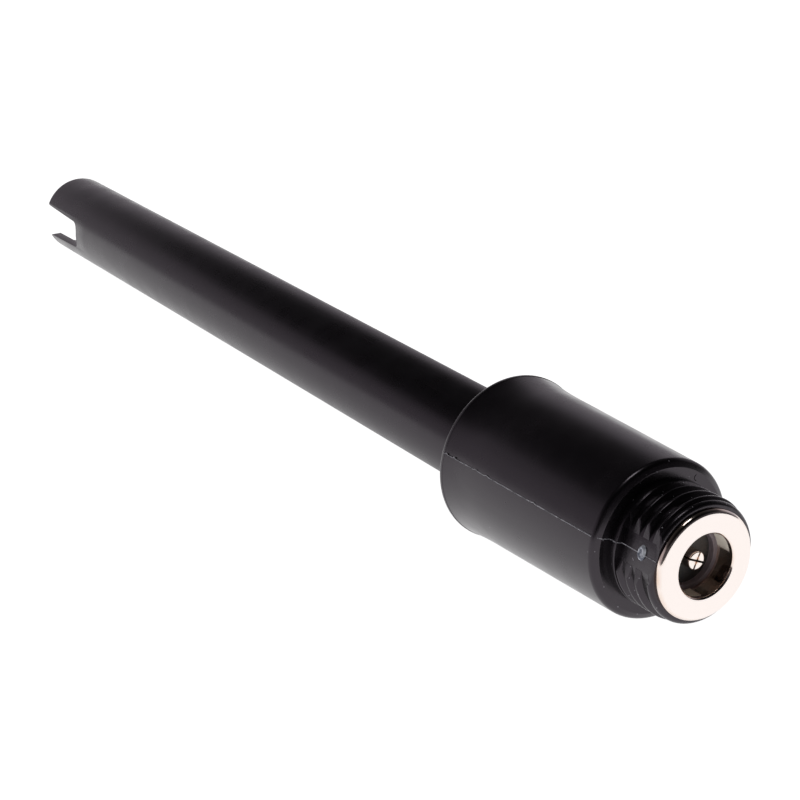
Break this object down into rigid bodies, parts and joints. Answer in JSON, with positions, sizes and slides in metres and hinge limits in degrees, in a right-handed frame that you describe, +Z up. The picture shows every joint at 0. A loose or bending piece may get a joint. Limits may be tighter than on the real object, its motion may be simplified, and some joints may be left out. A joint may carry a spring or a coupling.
{
  "type": "ph electrode",
  "caption": "Slim combination pH electrode with a slotted bulb guard, a moulded head with an interrupted screw thread and a coaxial contact.",
  "frame": {"origin": "middle of the bounding box in X and Y, on the surface that the electrode lies on", "axes": "+Z up, +X towards the connector, so the guard prongs point towards -X; the electrode lies on its head's rear lip and on its tube end, so its axis drops 1.97 degrees towards -X"},
  "size_m": [0.1086, 0.0138, 0.0139],
  "materials": {
    "head_plastic": "semi-gloss black moulding",
    "tube_plastic": "semi-gloss black extrusion",
    "nickel_plate": "bright nickel plate",
    "insulator_plastic": "satin dark brown moulding",
    "bulb_glass": "clear blown glass",
    "buffer_solution": "clear liquid",
    "silver": "drawn wire",
    "silver_chloride": "dull grey coating",
    "gel": "cloudy gel",
    "seal_rubber": "moulded rubber",
    "porous_ceramic": "unglazed",
    "copper": "tinned copper wire",
    "lead_insulation": "extruded insulation",
    "solder": "reflowed",
    "resin": "cast resin"
  },
  "bodies": {
    "root": {"head": "head_plastic", "contact_shell": "nickel_plate", "contact_insulator": "insulator_plastic", "centre_pin": "nickel_plate", "shaft_tube": "tube_plastic", "glass_electrode": "bulb_glass", "inner_buffer": "buffer_solution", "inner_silver_wire": "silver", "inner_chloride_tip": "silver_chloride", "stem_plug": "seal_rubber", "reference_silver_wire": "silver", "reference_chloride_tip": "silver_chloride", "reference_gel": "gel", "reference_junction": "porous_ceramic", "lower_seal": "seal_rubber", "upper_seal": "seal_rubber", "centre_lead": "copper", "centre_lead_sleeve": "lead_insulation", "reference_lead": "copper", "pin_solder": "solder", "shell_solder": "solder", "wire_splices": "solder", "potting": "resin"}
  },
  "joints": []
}
